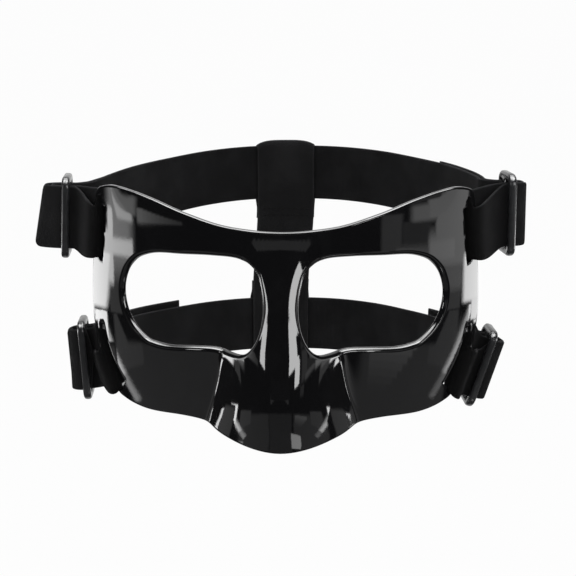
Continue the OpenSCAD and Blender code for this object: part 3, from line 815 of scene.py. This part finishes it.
# How many millimetres of the shade a degree takes, the soft ends of a leaning card and how bright a card has to
# be to hide what lies behind it. Then where the shade is shut at both sides: a middle and a reach of its turn
# and of its height
SHADE_DEGREE, LEAN_SOFT, CARD_EDGE = 4.9, 1.2, 0.05
SHUT_TURN, SHUT_TURN_REACH, SHUT_HEIGHT, SHUT_HEIGHT_REACH = 89.5, 46, -54.5, 117
SHADE_CARDS = [
    (-91, -36, 8, 16, 4, 9.5, 0.13, 1), (-97, -54, 4.5, 10, 0.5, 9),
    (-82, -20, 3.5, 12, 1.5, 6.8), (-79.5, -2, 1.2, 8, 1.2, 6.8), (-74.5, -14, 7.5, 2.5, 1.2, 6.8),
    (-74, 4, 4, 18, 6, 2.4), (-71, 11, 3.5, 4, 2.5, 5), (-69, 38, 3, 14, 3.5, 1.7),
    (-77, -40, 3.5, 16, 0.6, 0.45), (-86, -125, 5, 30, 2, 0.4),
    *[(k * 2 - 62, 19 - k * 0.9, 1, 13 - k * 1.3, 1.6, 1.5 * 0.87 ** k) for k in range(10)],
    (91, -32, 9.5, 12, 3, 10, 0, -1), (93.8, -50, 8.1, 13, 0.5, 9.5),
    (73, 0, 8, 20, 2, 1.7), (66, 38, 5, 18, 2.5, 1.6), (68, -13, 6, 3, 3, 2), (60, 32, 6, 12, 4, 1.4),
    (43.5, 10, 3.5, 22, 2.2, 0.45), (55, -1, 6, 11, 1.5, 0.25), (54, -14, 8, 1, 2, 0.8),
    (74, -28, 4, 6, 2, 1.1), (73, -31.5, 5, 18.5, 0.6, 0.5), (86, -125, 5, 30, 2, 0.4),
    (-93.3, -112, 0.6, 16, 0.6, 7), (93.3, -112, 0.6, 16, 0.6, 7), (28, -222, 7, 28, 2, 3.6),
    (0, -12, 18, 20, 0.5, 0.05), (33.7, 48, 2.2, 14, 0.5, 0.05),
]
SHADE_OPENINGS = [
    (-112, -5, 24, 61, 0.6, 1), (112, -5, 24, 61, 0.6, 1), (-58, -133, 15, 42, 2, 1), (58, -133, 15, 42, 2, 1),
    (-75, -106, 6.5, 50, 1, 1, -0.19, 1), (69.9, -103, 6.6, 53, 1, 1, 0.193, -1),
]


# Operators

class MASK_OT_shield(bpy.types.Operator):
    """Make the moulded shield with its openings and strap slots"""

    bl_idname = "face_mask.shield"
    bl_label = "Shield"

    # Columns between two stations of the edge and rows on the way from the edge to an opening. The first rows
    # lie at set depths, which shrink where the way is short, and the last but one at a set gap to the opening
    steps_between, rows = 12, 22
    edge_rows, short_way, eye_row = (0, 1.35, 2.9, 4.5, 5.67, 6.83, 8), 19, 2.3
    # Round a slot: how far the mesh is looked at, how far the rim's vertices and the smoothed ones reach, how
    # often those are smoothed, and the gap to the ring of vertices next to the rim
    cut_reach, rim_reach, smooth_reach, smoothings, slot_ring = 6, 2, 3, 6, 0.95
    # How near to the edge, or to a slot's middle, a rim belongs to it, and how finely the edge is tried
    edge_zone, slot_zone, edge_steps = 3.2, 19, 20

    def row_places(self, length):
        """Where the rows lie on the way from the edge to the opening."""
        near = [d * min(1, length / self.short_way) for d in self.edge_rows]
        far = length - self.eye_row
        spread = self.rows - len(near)
        return near + [mix(near[-1], far, k / spread) for k in range(1, spread + 1)] + [length]

    def skin(self, form):
        """The right half's skin, laid flat."""
        bm = bmesh.new()
        columns = len(EYE) * self.steps_between
        places = []
        for k in range(columns + 1):
            t = (k % columns) / self.steps_between
            a, b = form.outer(t), form.eye(t)
            length = (b - a).length
            places.append([a + (b - a) * (d / length) for d in self.row_places(length)])
        for v, i, j in on_grid(bm, columns, self.rows):
            v.co = (*places[i][j], 0)
        bmesh.ops.remove_doubles(bm, verts=bm.verts[:], dist=0.001)
        return bm

    def cut_slot(self, bm, slot):
        """Open a slot, and lay the mesh round it neatly."""
        near = [v for v in bm.verts if (v.co.xy - slot.centre).length < slot.length / 2 + self.cut_reach]
        faces = {f for v in near for f in v.link_faces}
        inside = [f for f in faces if slot.away(f.calc_center_median().xy) < 0]
        bmesh.ops.delete(bm, geom=inside, context="FACES")
        near = [v for v in near if v.is_valid and v.link_faces]
        rim = [v for v in near if v.is_boundary and slot.away(v.co.xy) < self.rim_reach]
        for v in rim:
            v.co.xy = slot.put(v.co.xy, 0)
        near = [v for v in near if not v.is_boundary and slot.away(v.co.xy) < self.smooth_reach]
        for _ in range(self.smoothings):
            bmesh.ops.smooth_vert(bm, verts=near, factor=0.5, use_axis_x=True, use_axis_y=True)
        for v in near:
            if slot.away(v.co.xy) < self.slot_ring:
                v.co.xy = slot.put(v.co.xy, self.slot_ring)

    def round_rims(self, bm, form, rims, s):
        """Round the shield's own edge, then the openings' front edges, then the slots' edges."""
        outline = [form.edge(k / self.edge_steps) for k in range(LAST * self.edge_steps)]
        slots = [form.slot_middle(t) for t in (UPPER_SLOT, LOWER_SLOT)]
        back = bm.verts.layers.int["side"]

        def right_half(p):
            """A place laid flat, as if on the right."""
            return Vector((abs(form.flat(p)[0]), p.z))

        def inset(p):
            """Whether a place lies further in than the shield's own edge."""
            return min((right_half(p) - q).length for q in outline) > self.edge_zone

        def near_slot(e):
            p = (e.verts[0].co + e.verts[1].co) / 2
            return any((right_half(p) - q).length < self.slot_zone for q in slots) and inset(p)

        own, opening, slot = [], [], []
        for e in rims:
            if near_slot(e):
                slot.append(e)
            elif not e.verts[0][back] and inset(e.verts[0].co):
                opening.append(e)
            else:
                own.append(e)
        for edges, rounding, steps in ((own, s.rounding, 4), (opening, s.opening_rounding, 5),
                                       (slot, s.slot_rounding, 3)):
            round_edges(bm, [e for e in edges if e.is_valid], mm(rounding), steps)

    def execute(self, context):
        s = context.scene.face_mask
        form = ShieldForm(s.shield)
        bm = self.skin(form)
        self.cut_slot(bm, SlotOutline(form, UPPER_SLOT, mm(s.shield.upper_slot_length)))
        self.cut_slot(bm, SlotOutline(form, LOWER_SLOT, mm(s.shield.lower_slot_length)))
        bmesh.ops.mirror(bm, geom=bm.verts[:] + bm.edges[:] + bm.faces[:], merge_dist=0.001, axis="X")
        far = bm.verts.layers.float_vector.new("far")
        for v in bm.verts:
            p = v.co.xy.copy()
            v.co = form.face(*p)
            v[far] = form.below(p, form.wall)
        self.round_rims(bm, form, give_thickness(bm, far), s.shield)
        finish_piece(bm, "shield_moulding", gloss_plastic(s.finish.shield), "mask", ["shield"], 60)
        return {"FINISHED"}


class MASK_OT_bands(bpy.types.Operator):
    """Make the two elastic head bands"""

    bl_idname = "face_mask.bands"
    bl_label = "Head bands"

    def execute(self, context):
        s = context.scene.face_mask
        width, thickness = mm(s.band.width), mm(s.band.thickness)
        finish = woven_elastic("band_elastic", s.finish.band, 1.05, 0.8, width / 2)
        for level in ("upper", "lower"):
            left, right = (SideLoop(s, level + side) for side in ("_left", "_right"))
            course, lengths = even_course(left.half_band()[::-1] + right.half_band()[1:], 1.2, 2)
            middle = lengths[-1] / 2
            gathers = [a if length < middle else b for a, b, length in
                       zip(left.gathers(course, lengths), right.gathers(course, lengths), lengths)]

            def gathered(i, c, up):
                down, under, _ = gathers[i]
                return up * -mix(under, down, c / width + 0.5)

            bm = bmesh.new()
            lay_ribbon(bm, course, lengths, width, thickness, 14, gathered, [bar_shade for _, _, bar_shade in gathers])
            finish_piece(bm, level + "_band_elastic", finish, "mask", [level + "_band"])
        return {"FINISHED"}


class MASK_OT_strap(bpy.types.Operator):
    """Make the strap behind the head, folded round both bands and sewn"""

    bl_idname = "face_mask.strap"
    bl_label = "Back strap"

    columns = 16
    # The rows of stitches below a band's edge, their step, half their length and the bare sides
    stitch_rows, stitch_step, stitch_reach, stitch_margin = (5.2, 8.6), 2.6, 0.3, 3
    # The folds over the upper band arch: where that starts below its edge and over what height, how far they
    # rise at the middle and how far they drop at the sides
    arch_from, arch_ease, arch_rise, arch_drop = 3, 4, 0.9, 2.3
    # How far from a band's middle the strap keeps that band's curve
    curve_reach = 16

    def rides(self, s):
        """How far off a band's middle the strap lies round it, and how far off it its flap lies."""
        ride = (mm(s.band.thickness) + mm(s.strap.thickness)) / 2 + mm(s.strap.clearance)
        return ride, mm(s.strap.thickness) + 0.1 - ride

    def path(self, s):
        """The folded strap's course: height, ride off the band's middle, and which band it goes by."""
        edge, (ride, flap) = -mm(s.band.width) / 2, self.rides(s)
        fold = [(edge - mm(s.strap.flap_length), flap), (edge - 4, flap), (edge - 1.4, ride * 0.87),
                (edge + 2, ride)]
        fold += [(-edge + mm(s.strap.clearance) + ride * math.sin(u) * 0.8, ride * math.cos(u))
                 for u in [math.pi * k / 6 for k in range(7)]]
        fold.append((edge - 1, -ride))
        upper, lower = mm(s.band.upper_back_height), mm(s.band.lower_back_height)
        return [(upper + z, r, 0.0) for z, r in fold] + [(lower - z, r, 1.0) for z, r in reversed(fold)]

    def place(self, s, loops, x, z, ride, low):
        """A point of the strap: x across it, z its height, ride its way off the band's middle."""
        points = []
        top = mm(s.band.upper_back_height) + mm(s.band.width) / 2
        arch = ease((z - top + self.arch_from) / self.arch_ease)
        arch *= self.arch_rise - self.arch_drop * (abs(x) / mm(s.strap.width) * 2) ** 4
        for k, loop in enumerate(loops):
            at_x = x + mm(s.strap.lower_place if k else s.strap.upper_place)
            p = loop.beside(abs(at_x) / (ROUTE[1][0] * loop.half), ride)
            points.append(Vector((math.copysign(p.x, at_x), p.y, z + arch)))
        return mix(points[0], points[1], low)

    def execute(self, context):
        s = context.scene.face_mask
        loops = [SideLoop(s, "upper_right"), SideLoop(s, "lower_right")]
        stations = [(Vector((0, r, z)), Vector((low, 0, 1e-3))) for z, r, low in self.path(s)]
        course, lengths = even_course(stations, 1.1, 1)
        bm = bmesh.new()
        far = bm.verts.layers.float_vector.new("far")
        width, half_t = mm(s.strap.width), mm(s.strap.thickness) / 2
        upper, lower = mm(s.band.upper_back_height), mm(s.band.lower_back_height)
        where = {}
        for v, i, j in on_grid(bm, len(course) - 1, self.columns):
            p, way = course[i][0], heading(course, i)
            low = ease((upper - self.curve_reach - p.z) / (upper - lower - 2 * self.curve_reach))
            x = (j / self.columns - 0.5) * width
            ends = [self.place(s, loops, x, p.z - side * half_t * way.y, p.y + side * half_t * way.z, low)
                    for side in (1, -1)]
            v.co, v[far] = ends
            where[v.index] = (lengths[i] * MM, x * MM)
        map_cloth(bm, where)
        round_edges(bm, give_thickness(bm, far), half_t * 0.7, 2)
        finish = woven_elastic("strap_elastic", s.finish.strap, 1.3, 0.9, width / 2)
        finish_piece(bm, "back_strap_elastic", finish, "mask", ["back_strap"])
        self.sew(s, loops)
        return {"FINISHED"}

    def sew(self, s, loops):
        """Rows of stitches through the strap and its flaps."""
        bm = bmesh.new()
        (ride, flap), edge, raised = self.rides(s), mm(s.band.width) / 2, mm(s.strap.thickness) / 2 + 0.05
        rows = [(mm(s.band.upper_back_height) - edge - d, 0.0) for d in self.stitch_rows]
        rows += [(mm(s.band.lower_back_height) + edge + d, 1.0) for d in self.stitch_rows]
        count = int((mm(s.strap.width) - self.stitch_margin) / self.stitch_step)
        for z, low in rows:
            for k in range(count):
                x = (k + 0.5 - count / 2) * self.stitch_step
                for off in (flap + raised, -ride - raised):
                    a, b = (self.place(s, loops, x + way * self.stitch_reach, z, off, low) for way in (-1, 1))
                    made = bmesh.ops.create_icosphere(bm, subdivisions=2, radius=1)
                    bmesh.ops.scale(bm, vec=(1.0, 0.24, 0.3), verts=made["verts"])
                    turn = (b - a).to_track_quat("X", "Z").to_matrix()
                    bmesh.ops.rotate(bm, matrix=turn, verts=made["verts"])
                    bmesh.ops.translate(bm, vec=(a + b) / 2, verts=made["verts"])
        finish_piece(bm, "back_strap_stitching", sewing_thread(s.finish.thread), "mask", sharp=80)


class MASK_OT_sliders(bpy.types.Operator):
    """Make the four strap sliders"""

    bl_idname = "face_mask.sliders"
    bl_label = "Sliders"

    def outline(self, bm, width, height, radius, middle):
        """A rounded rectangle as a loop of edges."""
        points = []
        for side_y, side_z, start in ((1, 1, 0), (-1, 1, 90), (-1, -1, 180), (1, -1, 270)):
            for k in range(7):
                u = math.radians(start + k * 15)
                points.append((0, middle + side_y * (width / 2 - radius) + radius * math.cos(u),
                               side_z * (height / 2 - radius) + radius * math.sin(u)))
        verts = [bm.verts.new(p) for p in points]
        return [bm.edges.new((a, b)) for a, b in zip(verts, verts[1:] + verts[:1])]

    def frame(self, s):
        """The slider lying at the origin: out is X, back is Y, up is Z."""
        bm = bmesh.new()
        far = bm.verts.layers.float_vector.new("far")
        depth, thickness = mm(s.depth), mm(s.thickness)
        edges = self.outline(bm, depth, mm(s.length), mm(s.corner), 0)
        pass_at = (mm(s.middle_bar) + mm(s.pass_width)) / 2
        for side in (-1, 1):
            edges += self.outline(bm, mm(s.pass_width), mm(s.pass_length), 1, side * pass_at)
        bmesh.ops.triangle_fill(bm, edges=edges, use_beauty=True, normal=(1, 0, 0))
        for v in bm.verts:
            v.co.x = thickness / 2
            v[far] = (-thickness / 2, v.co.y, v.co.z)
        rims = give_thickness(bm, far)
        outside = [e for e in rims if max(abs(v.co.y) for v in e.verts) > pass_at + mm(s.pass_width) / 2 + 0.5
                   or max(abs(v.co.z) for v in e.verts) > mm(s.pass_length) / 2 + 0.5]
        inside = [e for e in rims if e not in set(outside)]
        round_edges(bm, outside, thickness * 0.36, 4)
        round_edges(bm, [e for e in inside if e.is_valid], 0.6, 2)
        return bm

    def execute(self, context):
        s = context.scene.face_mask
        finish = satin_plastic(s.finish.slider)
        for name in LOOPS:
            loop = SideLoop(s, name)
            bm = self.frame(s.slider)
            for v in bm.verts:
                v.co = loop.mid + loop.out * v.co.x + loop.back * v.co.y + loop.up * v.co.z
            bmesh.ops.recalc_face_normals(bm, faces=bm.faces[:])
            finish_piece(bm, f"slider_{name}_frame", finish, name + "_slider", ["slider_" + name], 35)
        return {"FINISHED"}


class MASK_OT_pads(bpy.types.Operator):
    """Make the three foam pads, whose covers swell by a cloth simulation"""

    bl_idname = "face_mask.pads"
    bl_label = "Foam pads"

    # How deep the glued skin goes past the glue line on the solid, and on the remeshed pad
    glued_skin, glued_reach = 0.6, 1.4
    pressure, last_frame = 4, 20

    def apply(self, piece):
        """Make the piece's modifiers part of its mesh."""
        seen = piece.evaluated_get(bpy.context.evaluated_depsgraph_get())
        mesh = bpy.data.meshes.new_from_object(seen)
        piece.modifiers.clear()
        piece.data = mesh

    def blank(self, name, depth, s):
        """The pad's solid with its free side drawn in, meshed evenly. The group "glued" holds its glued side."""
        bm = bmesh.new()
        bm.from_mesh(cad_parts[name].data)
        bmesh.ops.remove_doubles(bm, verts=bm.verts[:], dist=1e-6)
        bm.normal_update()
        for v in bm.verts:
            if depth(v) > self.glued_skin:
                v.co -= v.normal * s.shrink
        piece = object_of(bm, name + "_foam")
        remesh = piece.modifiers.new("Remesh", "REMESH")
        remesh.mode, remesh.voxel_size = "VOXEL", s.grain
        self.apply(piece)
        piece.vertex_groups.new(name="glued").add(
            [v.index for v in piece.data.vertices if depth(v) < self.glued_reach], 1, "REPLACE")
        return piece

    def swell(self, piece, limit):
        """The cover swells under pressure while its glued side stays where it is."""
        scene = bpy.context.scene
        before = [v.co.copy() for v in piece.data.vertices]
        cloth = piece.modifiers.new("Swell", "CLOTH")
        cloth.settings.use_pressure = True
        cloth.settings.uniform_pressure_force = self.pressure
        cloth.settings.effector_weights.gravity = 0
        cloth.settings.vertex_group_mass = "glued"
        cloth.point_cache.frame_start, cloth.point_cache.frame_end = 1, self.last_frame
        for k in range(1, self.last_frame + 1):
            scene.frame_set(k)
        self.apply(piece)
        scene.frame_set(1)
        for v, start in zip(piece.data.vertices, before):
            moved = v.co - start
            if moved.length > limit:
                v.co = start + moved.normalized() * limit

    def execute(self, context):
        s = context.scene.face_mask
        form, finish = ShieldForm(s.shield), pad_cover(s.finish.pad)
        glue_line = form.wall + mm(s.pad.glue_gap)

        def depth(v):
            """How far past the glue line a vertex lies, in millimetres."""
            p = v.co / MM
            flat = form.flat(p)
            return (form.face(*flat) - p).dot(form.outward(*flat)) - glue_line

        for name in ("brow_pad", "cheek_pad_left", "cheek_pad_right"):
            piece = self.blank(name, depth, s.pad)
            self.swell(piece, s.pad.swell)
            piece.data.shade_smooth()
            round_off = piece.modifiers.new("Round", "SUBSURF")
            round_off.levels = round_off.render_levels = 1
            piece.data.materials.clear()
            piece.data.materials.append(finish)
            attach(piece, "mask")
            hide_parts(name)
        return {"FINISHED"}


class MASK_OT_stage(bpy.types.Operator):
    """Set the floor, the lights and the camera"""

    bl_idname = "face_mask.stage"
    bl_label = "Stage"

    floor_height, floor_size = -0.3, 30
    camera_distance, camera_rise, camera_turn, camera_aside = 0.7, 12, 2, 0.001
    key_aim = Vector((0, 0.03, 0))

    def key_lamp(self, at, wide, face):
        """A square lamp that faces the mask; face is how bright it looks, where 1 is white."""
        lamp = bpy.data.lights.new("key", "AREA")
        lamp.shape, lamp.size, lamp.size_y = "RECTANGLE", wide, wide
        lamp.energy = face * math.pi * wide * wide
        holder = bpy.data.objects.new("key", lamp)
        holder.location = at
        holder.rotation_euler = (self.key_aim - Vector(at)).to_track_quat("-Z", "Y").to_euler()
        holder.visible_camera = False
        bpy.context.scene.collection.objects.link(holder)

    def glow(self, turn, rise, cards, stretch):
        """The brightest of the cards at a turn and a rise; stretch is how much of the rise a degree takes."""
        most = 0.0
        for at, up, half_wide, half_tall, soft, light, *slant in cards:
            off = turn - at
            if slant:
                lean, side = slant
                off = (off - (rise - up) * lean) * side
                across = off.between(half_wide + soft, half_wide) * off.between(-half_wide - soft / 2, -half_wide)
                soft = LEAN_SOFT
            else:
                across = off.size().between(half_wide + soft, half_wide)
            upward = (rise - up).size().between(half_tall + soft * stretch, half_tall)
            most = (across * upward * light).or_more(most)
        return most

    def shade(self):
        """The round shade that keeps the sides' light off the nose. Only the gloss sees it."""
        bm = bmesh.new()
        bmesh.ops.create_cone(bm, segments=128, radius1=SHADE_RADIUS, radius2=SHADE_RADIUS,
                              depth=SHADE_HIGH - SHADE_LOW, cap_ends=False)
        bmesh.ops.translate(bm, vec=(0, SHADE_MIDDLE, (SHADE_HIGH + SHADE_LOW) / 2), verts=bm.verts[:])
        f = Finish(bpy.data.materials.new("shade"))
        x, y, z = f.parts(f.place())
        turn = x.sum("ARCTAN2", x, SHADE_MIDDLE - y) * math.degrees(1)
        height = z * 1000
        light = self.glow(turn, height, SHADE_CARDS, SHADE_DEGREE)
        shut = (turn.size() - SHUT_TURN).size().between(SHUT_TURN_REACH, SHUT_TURN_REACH - 0.5)
        shut = shut * (height - SHUT_HEIGHT).size().between(SHUT_HEIGHT_REACH, SHUT_HEIGHT_REACH - 0.5)
        shut = shut * (1 - self.glow(turn, height, SHADE_OPENINGS, SHADE_DEGREE))
        shut = shut.or_more(light.between(0, CARD_EDGE))
        shown = f.blend(shut, f.add("ShaderNodeBsdfTransparent"), f.light(light.or_more(DARK)))
        shade = object_of(bm, "shade", shown)
        shade.visible_camera = shade.visible_diffuse = shade.visible_shadow = shade.visible_transmission = False

    def studio(self):
        """The world: white to the camera, nearly white to matt faces, and cards of light to the gloss."""
        world = bpy.data.worlds.new("studio")
        bpy.context.scene.world = world
        f = Finish(world)
        x, y, z = f.parts(f.add("ShaderNodeTexCoord", output="Generated"))
        turn = x.sum("ARCTAN2", x, y * -1) * math.degrees(1)
        rise = z.sum("ARCSINE", z) * math.degrees(1)
        behind = turn.size().between(*BEHIND) * (1 - DARK) + DARK
        seen = behind.or_more(self.glow(turn, rise, FAR_CARDS, 1))
        is_diffuse, is_glossy = (f.add("ShaderNodeLightPath", output=f"Is {kind} Ray")
                                 for kind in ("Diffuse", "Glossy"))
        strength = mix(1 - is_diffuse * 0.15, seen, is_glossy)
        background = f.add("ShaderNodeBackground", {}, {"Color": WHITE, "Strength": strength})
        f.add("ShaderNodeOutputWorld", {}, {"Surface": background})

    def floor(self, shade):
        """A pale floor that keeps the mask's shadow."""
        bm = bmesh.new()
        bmesh.ops.create_grid(bm, x_segments=4, y_segments=4, size=self.floor_size)
        bmesh.ops.translate(bm, vec=(0, 0, self.floor_height), verts=bm.verts[:])
        f = Finish(bpy.data.materials.new("floor"))
        is_camera = f.add("ShaderNodeLightPath", output="Is Camera Ray")
        matt = f.add("ShaderNodeBsdfDiffuse", {}, {"Color": (*shade, 1)})
        floor = object_of(bm, "floor", f.blend(is_camera * 0.9, matt, f.light(1.0)))
        floor.visible_glossy = False

    def camera(self, scene):
        lens = bpy.data.cameras.new("camera")
        lens.sensor_width, lens.lens = 36, 98.4375
        camera = bpy.data.objects.new("camera", lens)
        scene.collection.objects.link(camera)
        rise, turn = math.radians(self.camera_rise), math.radians(self.camera_turn)
        ahead = Vector((-math.sin(turn) * math.cos(rise), math.cos(turn) * math.cos(rise), -math.sin(rise)))
        right = Vector((math.cos(turn), math.sin(turn), 0))
        camera.location = right * self.camera_aside - ahead * self.camera_distance
        camera.rotation_euler = ahead.to_track_quat("-Z", "Y").to_euler()
        scene.camera = camera

    def execute(self, context):
        context.scene.view_settings.view_transform = "Standard"
        self.studio()
        self.key_lamp((0.3, -0.6, 1.4), 0.8, 2)
        self.shade()
        self.floor(context.scene.face_mask.finish.floor)
        self.camera(context.scene)
        return {"FINISHED"}


class MASK_PT_panel(bpy.types.Panel):
    """Lists the face mask's pieces and settings"""

    bl_idname = "MASK_PT_panel"
    bl_label = "Face mask"
    bl_space_type = "VIEW_3D"
    bl_region_type = "UI"
    bl_category = "Face mask"

    def draw(self, context):
        for made in PIECES:
            self.layout.operator(made.bl_idname)
        settings = context.scene.face_mask
        for group in settings.bl_rna.properties:
            if group.type != "POINTER" or group.identifier == "rna_type":
                continue
            box = self.layout.box()
            box.label(text=group.name or group.identifier)
            part = getattr(settings, group.identifier)
            for item in part.bl_rna.properties:
                if item.identifier not in ("rna_type", "name"):
                    box.prop(part, item.identifier)


GROUPS = (ShieldSettings, BandSettings, StrapSettings, SliderSettings, PadSettings, FinishSettings,
          FaceMaskSettings)
PIECES = (MASK_OT_shield, MASK_OT_bands, MASK_OT_strap, MASK_OT_sliders, MASK_OT_pads, MASK_OT_stage)


def register():
    for made in (*GROUPS, *PIECES, MASK_PT_panel):
        bpy.utils.register_class(made)
    bpy.types.Scene.face_mask = PointerProperty(type=FaceMaskSettings)


def unregister():
    del bpy.types.Scene.face_mask
    for made in reversed((*GROUPS, *PIECES, MASK_PT_panel)):
        bpy.utils.unregister_class(made)


def main():
    """Make every piece and set the stage."""
    register()
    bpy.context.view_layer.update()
    bpy.ops.face_mask.shield()
    bpy.ops.face_mask.bands()
    bpy.ops.face_mask.strap()
    bpy.ops.face_mask.sliders()
    bpy.ops.face_mask.pads()
    bpy.ops.face_mask.stage()
    bpy.context.view_layer.update()


if __name__ == "__main__":
    main()
